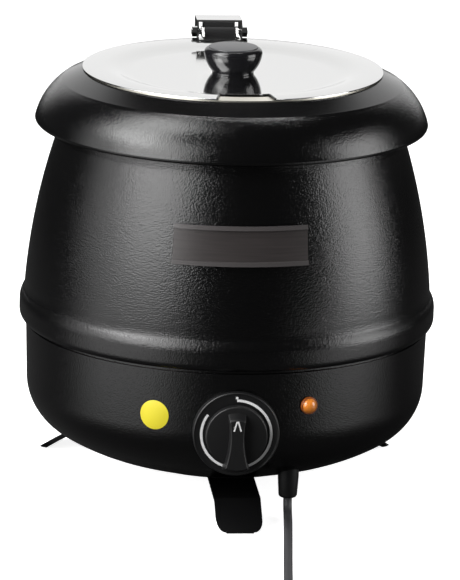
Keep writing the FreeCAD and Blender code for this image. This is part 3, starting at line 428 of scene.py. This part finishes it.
def makeCord(s):
    x, y, z = s["gland"]
    r = s["radius"]
    points = [Vector((x, y, z)), Vector((x, y, s["bendLevel"]))]
    points += [Vector((x + across, y + along, r)) for across, along in s["route"]]
    points += [Vector((s["coilSide"], s["coilY"] + gap, s["coilLevel"])) for gap in s["leadIn"]]
    total = round((s["turnsIn"] + s["turnsUp"] + s["turnsOut"]) * s["perTurn"])
    points += [coilPoint((step + 0.5) / s["perTurn"], s) for step in range(total)]
    endPoint = coilPoint(total / s["perTurn"], s)
    endPoint.y = s["coilY"] - (s["coilRadius"] - (s["turnsIn"] - s["turnsOut"]) * s["pitch"])
    points += [endPoint - Vector((reach, 0, 0)) for reach in s["tail"]]
    curve = bpy.data.curves.new("mainsCord", "CURVE")
    curve.dimensions = "3D"
    curve.bevel_depth = r * mm
    curve.bevel_resolution = 5
    curve.resolution_u = 8
    curve.use_fill_caps = True
    spline = curve.splines.new("NURBS")
    spline.points.add(len(points) - 1)
    for point, place in zip(spline.points, points):
        point.co = (*(place * mm), 1)
    spline.order_u = 3
    spline.use_endpoint_u = True
    cord = addObject("mainsCord", curve)
    curve.materials.append(materials["cordGrey"])
    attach(cord, "kettle")
    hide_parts("power_cord", "cord_coil")


makeCord(cordSettings)
print("cord laid")

# Jacket: bowl, flared shell with its bead, and the collar with the rolled skirt.
bowlSettings = {
    "steps": 160,
    "outline": [
        (78, 22),
        (142, 45.8, 170, "left"),
        (163.2, 84, 45, "left"),
        (164.4, 131.3),
        (162.8, 131.5),
        (162.8, 144.8),
        (168.6, 144.8),
        (168.6, 146),
        (161.6, 146),
        (161.6, 131.8),
        (163.2, 129.5),
        (162, 84),
        (141.4, 46.8, 43.8, "right"),
        (78, 23.2, 168.8, "right"),
    ],
}
bowl = spinPiece("bowlVisual", bowlSettings)
settle(bowl, "kettle", "blackCoat", ["base_pan"])

shellSettings = {
    "steps": 192,
    "outline": [
        (167, 134.5),
        (169.9, 140.5, 7.5, "left"),
        (169.9, 148),
        (166.6, 158, 16, "left"),
        (165.6, 166, 40, "right"),
        (141, 288, 527, "left"),
        (141, 300),
        (139.8, 300),
        (139.8, 288),
        (164.4, 166, 525.8, "right"),
        (166.5, 158, 22.6, "left"),
        (168.8, 150, 20.2, "right"),
        (168.8, 142),
        (165.1, 134.9, 8.3, "right"),
    ],
}
shell = spinPiece("shellVisual", shellSettings)
settle(shell, "kettle", "blackCoat", ["outer_shell"])

collarSettings = {
    "steps": 192,
    "smoothing": 20,  # keeps the edge between seat and cone sharp
    "outline": [
        (109.5, 338.8),
        (109.5, 340),
        (121.5, 340),
        (137.2, 332),
        (138.8, 331, 5, "right"),
        (159.4, 300.2, 54, "right"),
        (156.2, 297, 3.3, "right"),
        (141, 297),
        (141, 298.2),
        (156.2, 298.2),
        (158.2, 300.2, 2.1, "left"),
        (138.1, 329.9, 52.8, "left"),
        (136.6, 330.9, 4, "left"),
        (121.2, 338.8),
    ],
}
collar = spinPiece("collarVisual", collarSettings)
settle(collar, "kettle", "collarCoat", ["rim_collar"])
print("jacket spun")

# Lid: pressed rim and sunk middle, the ladle notch cut out of its front.
lidSettings = {
    "steps": 160,
    "turn": 2,
    "outline": [
        (2.5, 337.4),
        (82, 337.4),
        (94, 339.4, 37, "left"),
        (106, 341.4, 37, "right"),
        (121.4, 341.4),
        (121.8, 341.8, 0.5, "left"),
        (121.3, 342.4, 0.6, "left"),
        (106, 342.4),
        (94, 340.4, 37, "left"),
        (82, 338.4, 37, "right"),
        (2.5, 338.4),
    ],
    "stepStart": (82, 338.4),  # where the upper side leaves the sunk middle and where it meets the rim
    "stepEnd": (106, 342.4),
    "notch": [
        (-24.5, -125),
        (24.5, -125),
        (18.3, -91),
        (12.5, -86, 6, "left"),
        (-12.5, -86),
        (-18.3, -91, 6, "left"),
    ],
    "notchFrom": 328,
    "notchHeight": 30,
    "notchSmoothing": 25,
}
lidTurn = Matrix.Rotation(math.radians(lidSettings["turn"]), 4, "Z")
lidPiece = spinPiece("lidVisual", lidSettings)
notchPoints = outlinePoints(lidSettings["notch"])
notchCutter = raisePiece("notchCutter", notchPoints, lidSettings["notchHeight"])
applyTurn(notchCutter, Matrix.Translation((0, 0, lidSettings["notchFrom"] * mm)))
cutWith(lidPiece, notchCutter)
pick(lidPiece)
smoothTo(lidSettings["notchSmoothing"])
applyTurn(lidPiece, lidTurn)
settle(lidPiece, "lid", "mirrorSteel", ["lid"])


def lidTop(reach):
    startReach, startLevel = lidSettings["stepStart"]
    endReach, endLevel = lidSettings["stepEnd"]
    share = (reach - startReach) / (endReach - startReach)
    return startLevel + (endLevel - startLevel) * ease(min(max(share, 0), 1))


# Rolled hem along the notch, following the rim and the sunk middle of the lid; its dark steel is painted
# shade for the shadow along the rolled edge.
hemSettings = {"radius": 0.9, "sunk": 0.3, "edge": 120.0, "smoothing": 60}


def makeHem(settings):
    path = notchPoints[1:] + [Vector(lidSettings["notch"][0])]
    points = []
    for start, stop in zip(path, path[1:]):
        count = max(1, round((stop - start).length))
        points += [start.lerp(stop, step / count) for step in range(count)]
    points = [p for p in points if p.length < settings["edge"]]
    curve = bpy.data.curves.new("notchHem", "CURVE")
    curve.dimensions = "3D"
    curve.bevel_depth = settings["radius"] * mm
    curve.bevel_resolution = 3
    curve.use_fill_caps = True
    spline = curve.splines.new("POLY")
    spline.points.add(len(points) - 1)
    for point, place in zip(spline.points, points):
        level = lidTop(place.length) - settings["sunk"]
        point.co = (place.x * mm, place.y * mm, level * mm, 1)
    pick(addObject("notchHem", curve))
    bpy.ops.object.convert(target="MESH")
    hem = bpy.context.object
    finishMesh(hem, settings["smoothing"])
    applyTurn(hem, lidTurn)
    settle(hem, "lid", "hemPaintedShadeSteel")


makeHem(hemSettings)

lidKnobSettings = {
    "steps": 72,
    "outline": [
        (2.5, 338.4),
        (16.6, 338.4),
        (17, 338.8, 0.5, "left"),
        (17, 339.8),
        (23.6, 354, 26, "left"),
        (21, 359, 4.8, "left"),
        (20, 359.2),
        (20, 358.2),
        (2.5, 358.2),
    ],
}
lidKnob = spinPiece("lidKnobVisual", lidKnobSettings)
settle(lidKnob, "lid", "glossBlack", ["lid_knob"])

knobCapSettings = {
    "steps": 72,
    "closed": False,
    "outline": [(0, 358.2), (19.9, 358.2), (19.9, 359.5), (19.4, 360, 0.6, "left"), (0, 360)],
}
knobCap = spinPiece("knobCapVisual", knobCapSettings)
settle(knobCap, "lid", "capGrey", ["knob_cap"])
print("lid made")

# Dial: plate scribed to the bowl, printed arc and dot, and the control knob with its grip.
plateSettings = {
    "turn": 0,
    "reach": 169,
    "level": 83.8,
    "steps": 96,
    "outline": [
        (5.1, -3),
        (31.8, -3),
        (31.8, -20),
        (34.2, -20),
        (34.2, -1.2),
        (33.2, 0, 1.2, "left"),
        (32.4, -0.3),
        (31.8, -0.4),
        (5.1, -0.4),
    ],
}
bowlCutterSettings = {
    "steps": 256,
    "closed": False,
    "outline": [
        (0, 40),
        (136, 40),
        (142, 45.8, 200, "left"),
        (163.2, 84, 45, "left"),
        (164.3, 124),
        (0, 124),
    ],
}
dialTurn = frontPlace(plateSettings)
plate = spinPiece("dialPlateVisual", plateSettings)
applyTurn(plate, dialTurn)
cutWith(plate, spinPiece("bowlCutter", bowlCutterSettings))
settle(plate, "kettle", "mattBlack", ["dial_bezel"])

# The spin runs clockwise from the start, which is straight up.
arcSettings = {
    "inner": 26.6,
    "outer": 28.6,
    "low": -0.4,
    "high": -0.25,
    "start": 90,
    "sweep": 305,
    "steps": 96,
    "smoothing": 30,
}


def makeDialArc(s):
    corners = [
        (s["inner"], 0, s["low"]),
        (s["outer"], 0, s["low"]),
        (s["outer"], 0, s["high"]),
        (s["inner"], 0, s["high"]),
    ]
    arc = meshPiece("dialArc", corners, [(0, 1), (1, 2), (2, 3), (3, 0)], [(0, 1, 2, 3)])
    spinMesh(s["steps"], s["sweep"])
    finishMesh(arc, s["smoothing"])
    applyTurn(arc, dialTurn @ Matrix.Rotation(math.radians(s["start"]), 4, "Z"))
    settle(arc, "kettle", "whitePrint")


makeDialArc(arcSettings)

dotSettings = {
    "height": 29.7,
    "steps": 24,
    "closed": False,
    "outline": [(0, -0.4), (1.1, -0.4), (1.1, -0.25), (0, -0.25)],
}
dialDot = spinPiece("dialDot", dotSettings)
applyTurn(dialDot, dialTurn @ Matrix.Translation((0, dotSettings["height"] * mm, 0)))
settle(dialDot, "kettle", "whitePrint")

discSettings = {
    "steps": 96,
    "outline": [(3, 0.6), (24.3, 0.6), (24.5, 0.8), (24.2, 5.6), (23.2, 6.6, 1, "left"), (3, 6.6)],
}
gripSettings = {
    "tip": (8, 20),
    "tipArc": 24.5,
    "waistArc": 100,
    "tailReach": 30.7,
    "tailAngle": 22,
    "height": 15.3,
    "lift": 0.7,
    "farScale": 0.8,
    "rounding": 1.0,
}


def makeGrip(s):
    tipSide, tipEnd = s["tip"]
    tailSide = s["tailReach"] * math.sin(math.radians(s["tailAngle"]))
    tailEnd = -s["tailReach"] * math.cos(math.radians(s["tailAngle"]))
    points = outlinePoints([
        (tipSide, tipEnd, s["tipArc"], "right"),
        (tailSide, tailEnd, s["waistArc"], "left"),
        (-tailSide, tailEnd, s["tailReach"], "right"),
        (-tipSide, tipEnd, s["waistArc"], "left"),
    ])
    grip = raisePiece("knobGrip", points, s["height"], s["farScale"], s["rounding"])
    applyTurn(grip, Matrix.Translation((0, 0, s["lift"] * mm)))
    return grip


controlKnob = joinPieces(spinPiece("controlKnobVisual", discSettings), makeGrip(gripSettings))
applyTurn(controlKnob, dialTurn)
settle(controlKnob, "control_knob", "mattBlack", ["control_knob"])

pointerSettings = {
    "halfWidth": 0.6,
    "halfLength": 4.2,
    "thickness": 0.2,
    "lean": 17,
    "place": (1.6, 11.2, 15.9),
}


def pointerBar(side, s):
    wide, long = s["halfWidth"], s["halfLength"]
    corners = [(-wide, -long), (wide, -long), (wide, long), (-wide, long)]
    bar = raisePiece(f"pointer{side}", corners, s["thickness"])
    across, up, out = s["place"]
    place = Matrix.Translation((side * across * mm, up * mm, out * mm))
    applyTurn(bar, dialTurn @ place @ Matrix.Rotation(math.radians(s["lean"] * side), 4, "Z"))
    return bar


pointer = joinPieces(pointerBar(-1, pointerSettings), pointerBar(1, pointerSettings))
settle(pointer, "control_knob", "whitePrint")
print("dial made")

# Lamp, label holder, gland and sticker.
lensSettings = {
    "turn": 20.6,
    "reach": 164.4,
    "level": 103.7,
    "steps": 48,
    "closed": False,
    "outline": [(0, -0.5), (6, -0.5), (6, 1.6), (0, 5.6, 6.5, "left")],
}
lens = spinPiece("lampLensVisual", lensSettings)
applyTurn(lens, frontPlace(lensSettings))
settle(lens, "kettle", "amber", ["lamp_lens"])

lampRingSettings = {
    "steps": 48,
    "outline": [(6.1, -0.5), (7, -0.5), (7, 1), (6.6, 1.8), (6.1, 1.8)],
}
lampRing = spinPiece("lampRing", lampRingSettings)
applyTurn(lampRing, frontPlace(lensSettings))
settle(lampRing, "kettle", "amberRim")

# The holder follows the shell's long arc; its rows are (distance from the shell, level).
holderSettings = {
    "arc": 527,
    "arcCentre": (-361.4, 164.4),
    "turn": 0.1,
    "sweep": 38,
    "steps": 64,
    "endSmoothing": 30,
    "back": [(0.25, 219.6), (1.3, 219.6), (1.3, 249.1), (0.25, 249.1), (0.25, 234)],
    "lips": {"holderLipLow": (218.7, 222.1), "holderLipHigh": (246.7, 250)},
    "lipRoot": 0.25,
    "lipInside": 1.4,
    "lipOutside": 2.6,
    "lipFoot": 0.5,
}


def shellRadius(z, s):
    centreR, centreZ = s["arcCentre"]
    return centreR + math.sqrt(s["arc"] ** 2 - (z - centreZ) ** 2)


def holderPart(name, rows, s):
    outline = [(shellRadius(z, s) + out, z) for out, z in rows]
    part = spinPiece(name, {"outline": outline, "steps": s["steps"], "sweep": s["sweep"]})
    bpy.ops.object.mode_set(mode="EDIT")
    bpy.ops.mesh.select_all(action="DESELECT")
    bpy.ops.mesh.select_non_manifold(extend=False)
    bpy.ops.mesh.edge_face_add()
    endEdit()
    finishMesh(part, s["endSmoothing"])
    start = s["turn"] - 90 + s["sweep"] / 2
    applyTurn(part, Matrix.Rotation(math.radians(start), 4, "Z"))
    return part


def makeHolder(s):
    back = holderPart("labelHolderVisual", s["back"], s)
    settle(back, "kettle", "smoked", ["label_holder"])
    for name, (low, high) in s["lips"].items():
        rows = [
            (s["lipRoot"], low),
            (s["lipOutside"], low),
            (s["lipOutside"], high),
            (s["lipInside"], high),
            (s["lipInside"], low + s["lipFoot"]),
        ]
        settle(holderPart(name, rows, s), "kettle", "smokedLip")


makeHolder(holderSettings)

glandSettings = {
    "steps": 48,
    "closed": False,
    "outline": [(0, 17.4), (5.8, 17.4), (7.5, 19.4, 2.2, "left"), (8.4, 34), (8.4, 50), (0, 50)],
}
glandX, glandY = cordSettings["gland"][:2]
gland = spinPiece("glandVisual", glandSettings)
applyTurn(gland, Matrix.Translation((glandX * mm, glandY * mm, 0)))
settle(gland, "kettle", "mattBlack", ["cord_gland"])

# The sticker is made flat and wrapped round the bowl.
stickerSettings = {
    "turn": -23.0,
    "level": 94.0,
    "reach": 163.75,
    "steps": 64,
    "closed": False,
    "outline": [(0, 0), (11.6, 0), (11.9, 0.1), (11.6, 0.2), (0, 0.2)],
}


def makeSticker(settings):
    sticker = spinPiece("sticker", settings)
    for vertex in sticker.data.vertices:
        across, up, out = vertex.co.x, vertex.co.y, vertex.co.z
        reach = settings["reach"] * mm + out
        angle = math.radians(settings["turn"]) + across / reach
        vertex.co = (reach * math.sin(angle), -reach * math.cos(angle), settings["level"] * mm + up)
    settle(sticker, "kettle", "yellowSticker")


makeSticker(stickerSettings)
print("trim made")

# The pieces that keep their solids only get a surface.
surfaces = {
    "footBlack": ["foot_front", "foot_right", "foot_left", "bottom_plate"],
    "rubber": ["foot_pad_front", "foot_pad_right", "foot_pad_left"],
    "potSteel": ["soup_pot"],
    "dullSteel": ["water_tank", "heating_element", "element_clamp", "capillary", "sensor_bulb"],
    "mirrorSteel": [
        "hinge_cover",
        "hinge_leaf",
        "hinge_pin",
        "hinge_nut_right",
        "hinge_nut_left",
        "thermostat_shaft",
        "foot_screw_front",
        "foot_screw_right",
        "foot_screw_left",
        "knob_screw",
        "plug_pin_one",
        "plug_pin_two",
    ],
    "mattBlack": ["hinge_base", "thermostat_body", "lamp_body", "terminal_block"],
    "cordGrey": ["plug_body", "plug_relief", "coil_tie"],
}
for material, nodes in surfaces.items():
    for node in nodes:
        surface(bpy.data.objects[node], material)
print("solids surfaced")

# Studio: pale floor and backdrop, large lights at both sides and a thin one overhead.
lights = {
    "leftLight": {"size": (1.4, 1.5), "power": 41, "place": (-1.35, -1.35, 0.95), "aim": (0, 0, 0.25)},
    "highLeftLight": {"size": (1.0, 1.5), "power": 38, "place": (-1.08, -0.47, 1.65), "aim": (0, 0, 0.3)},
    "farLeftLight": {"size": (1.1, 1.5), "power": 10, "place": (-1.84, -0.46, 0.85), "aim": (0, 0, 0.25)},
    "rightLight": {"size": (1.0, 1.2), "power": 18, "place": (1.67, -0.3, 0.6), "aim": (0, 0, 0.25)},
    "topLight": {"size": (1.6, 0.14), "power": 11, "place": (0, 0.35, 2.6), "aim": (0, 0, 0)},
}


def areaLight(name, settings):
    data = bpy.data.lights.new(name, "AREA")
    data.shape = "RECTANGLE"
    data.size, data.size_y = settings["size"]
    data.energy = settings["power"]
    light = addObject(name, data)
    light.matrix_world = aimedFrom(viewTurn @ Vector(settings["place"]), Vector(settings["aim"]))


for name, settings in lights.items():
    areaLight(name, settings)


# The camera sees the pale studio everywhere, metal and gloss only where the mask leaves it pale.
def paleRays(tree, mask):
    camera = shaderNode(tree, "ShaderNodeLightPath", output="Is Camera Ray")
    glossy = shaderNode(tree, "ShaderNodeLightPath", output="Is Glossy Ray")
    through = shaderNode(tree, "ShaderNodeLightPath", output="Is Transmission Ray")
    return camera.math("MAXIMUM", glossy.math("MAXIMUM", through) * mask)


# For gloss the floor is pale in front only, outside a dark wedge and away from the kettle.
floorSettings = {
    "size": 12,
    "level": -0.0002,
    "pale": (0.9, 0.9, 0.9, 1),
    "glow": 0.88,
    "dark": (0.05, 0.05, 0.05, 1),
    "wedgeMiddle": 0.14,  # metres to the side for each metre forward
    "wedgeHalf": 0.5,
    "wedgeFade": 2.5,
    "leastForward": 0.02,
    "frontFade": 5,
    "nearest": 0.26,
    "nearFade": 5,
    "glossShare": 0.55,
}


def makeFloor(s):
    bpy.ops.object.select_all(action="DESELECT")
    bpy.ops.mesh.primitive_plane_add(size=s["size"], location=(0, 0, s["level"]))
    floor = bpy.context.object
    floor.name = "studioFloor"
    material = bpy.data.materials.new("studioFloor")
    material.use_nodes = True
    tree = material.node_tree
    tree.nodes.remove(tree.nodes["Principled BSDF"])
    plain = shaderNode(tree, "ShaderNodeBsdfDiffuse", {"Color": s["pale"]})
    glow = shaderNode(tree, "ShaderNodeEmission", {"Color": (1, 1, 1, 1), "Strength": s["glow"]})
    lit = shaderNode(tree, "ShaderNodeAddShader", [plain, glow])
    dark = shaderNode(tree, "ShaderNodeBsdfDiffuse", {"Color": s["dark"]})
    place = shaderNode(tree, "ShaderNodeTexCoord", output="Object")
    side = shaderNode(tree, "ShaderNodeSeparateXYZ", {"Vector": place}, output="X")
    forward = 0.0 - shaderNode(tree, "ShaderNodeSeparateXYZ", {"Vector": place}, output="Y")
    slant = side.math("DIVIDE", forward.math("MAXIMUM", s["leastForward"]))
    aside = (((slant - s["wedgeMiddle"]).math("ABSOLUTE") - s["wedgeHalf"]) * s["wedgeFade"]).clamped()
    before = (forward * s["frontFade"]).clamped()
    reach = shaderNode(tree, "ShaderNodeVectorMath", {0: place}, output="Value", operation="LENGTH")
    away = ((reach - s["nearest"]) * s["nearFade"]).clamped()
    pale = paleRays(tree, aside * before * away * s["glossShare"])
    mixed = shaderNode(tree, "ShaderNodeMixShader", [pale, dark, lit])
    tree.links.new(mixed.socket, tree.nodes["Material Output"].inputs["Surface"])
    floor.data.materials.append(material)


# For gloss the backdrop is a pale patch round one direction behind the kettle.
worldSettings = {
    "pale": 1.0,
    "fill": 0.05,
    "patchMiddle": (0, 0.94, 0.342),
    "patchEdge": 0.82,  # cosine of the angle at which it ends
    "patchFade": 12,
}


def makeWorld(s):
    world = bpy.data.worlds.new("studioWorld")
    bpy.context.scene.world = world
    world.use_nodes = True
    tree = world.node_tree
    seen = shaderNode(tree, "ShaderNodeBackground", {"Color": (1, 1, 1, 1), "Strength": s["pale"]})
    fill = shaderNode(tree, "ShaderNodeBackground", {"Color": (1, 1, 1, 1), "Strength": s["fill"]})
    way = shaderNode(tree, "ShaderNodeTexCoord", output="Generated")
    facing = shaderNode(
        tree,
        "ShaderNodeVectorMath",
        {0: way, 1: viewTurn @ Vector(s["patchMiddle"])},
        output="Value",
        operation="DOT_PRODUCT",
    )
    patch = ((facing - s["patchEdge"]) * s["patchFade"]).clamped()
    mixed = shaderNode(tree, "ShaderNodeMixShader", [paleRays(tree, patch), fill, seen])
    tree.links.new(mixed.socket, tree.nodes["World Output"].inputs["Surface"])


makeFloor(floorSettings)
makeWorld(worldSettings)
bpy.context.scene.view_settings.view_transform = "Standard"
print("studio lit")
